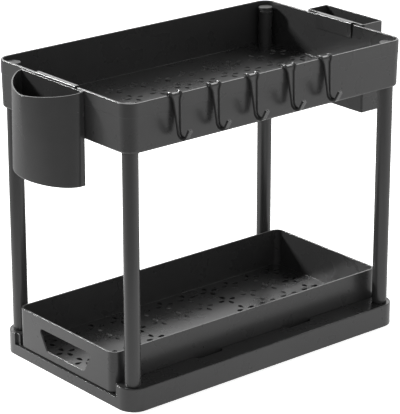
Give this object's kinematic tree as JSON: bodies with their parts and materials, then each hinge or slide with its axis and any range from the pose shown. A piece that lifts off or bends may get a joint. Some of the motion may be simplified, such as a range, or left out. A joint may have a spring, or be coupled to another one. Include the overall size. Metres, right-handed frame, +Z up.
{
  "type": "under sink organizer",
  "caption": "two-tier plastic organizer with a perforated upper tray on round posts, a sliding drawer in a low base, and a cup, a caddy and J hooks that hang on the tray's rim",
  "frame": {"origin": "the middle of the base's underside, on the surface that the organizer stands on", "axes": "+X to the side with the hooks, +Y along the length away from the drawer's handle end, +Z up"},
  "size_m": [0.2545, 0.4602, 0.3415],
  "materials": {
    "body_plastic": "satin, charcoal",
    "post_plastic": "satin, charcoal",
    "cap_plastic": "satin, dark grey",
    "hook_plastic": "satin, charcoal"
  },
  "bodies": {
    "frame": {"base_tray": "body_plastic", "upper_tray": "body_plastic", "post_front_left": "post_plastic", "post_front_right": "post_plastic", "post_rear_left": "post_plastic", "post_rear_right": "post_plastic", "post_cap_front_left": "cap_plastic", "post_cap_front_right": "cap_plastic", "post_cap_rear_left": "cap_plastic", "post_cap_rear_right": "cap_plastic"},
    "drawer": {"drawer": "body_plastic"},
    "cup": {"cup": "body_plastic"},
    "caddy": {"caddy": "body_plastic"},
    "hook_1": {"hook_1": "hook_plastic"},
    "hook_2": {"hook_2": "hook_plastic"},
    "hook_3": {"hook_3": "hook_plastic"},
    "hook_4": {"hook_4": "hook_plastic"},
    "hook_5": {"hook_5": "hook_plastic"}
  },
  "joints": [
    {"name": "drawer_slide", "type": "slide", "parent": "frame", "child": "drawer", "axis": [0, -1, 0], "range_m": [0, 0.19]},
    {"name": "cup_lift", "type": "slide", "parent": "frame", "child": "cup", "axis": [0, 0, 1], "range_m": [0, 0.03]},
    {"name": "caddy_lift", "type": "slide", "parent": "frame", "child": "caddy", "axis": [0, 0, 1], "range_m": [0, 0.03]},
    {"name": "hook_1_lift", "type": "slide", "parent": "frame", "child": "hook_1", "axis": [0, 0, 1], "range_m": [0, 0.03]},
    {"name": "hook_2_lift", "type": "slide", "parent": "frame", "child": "hook_2", "axis": [0, 0, 1], "range_m": [0, 0.03]},
    {"name": "hook_3_lift", "type": "slide", "parent": "frame", "child": "hook_3", "axis": [0, 0, 1], "range_m": [0, 0.03]},
    {"name": "hook_4_lift", "type": "slide", "parent": "frame", "child": "hook_4", "axis": [0, 0, 1], "range_m": [0, 0.03]},
    {"name": "hook_5_lift", "type": "slide", "parent": "frame", "child": "hook_5", "axis": [0, 0, 1], "range_m": [0, 0.03]}
  ]
}
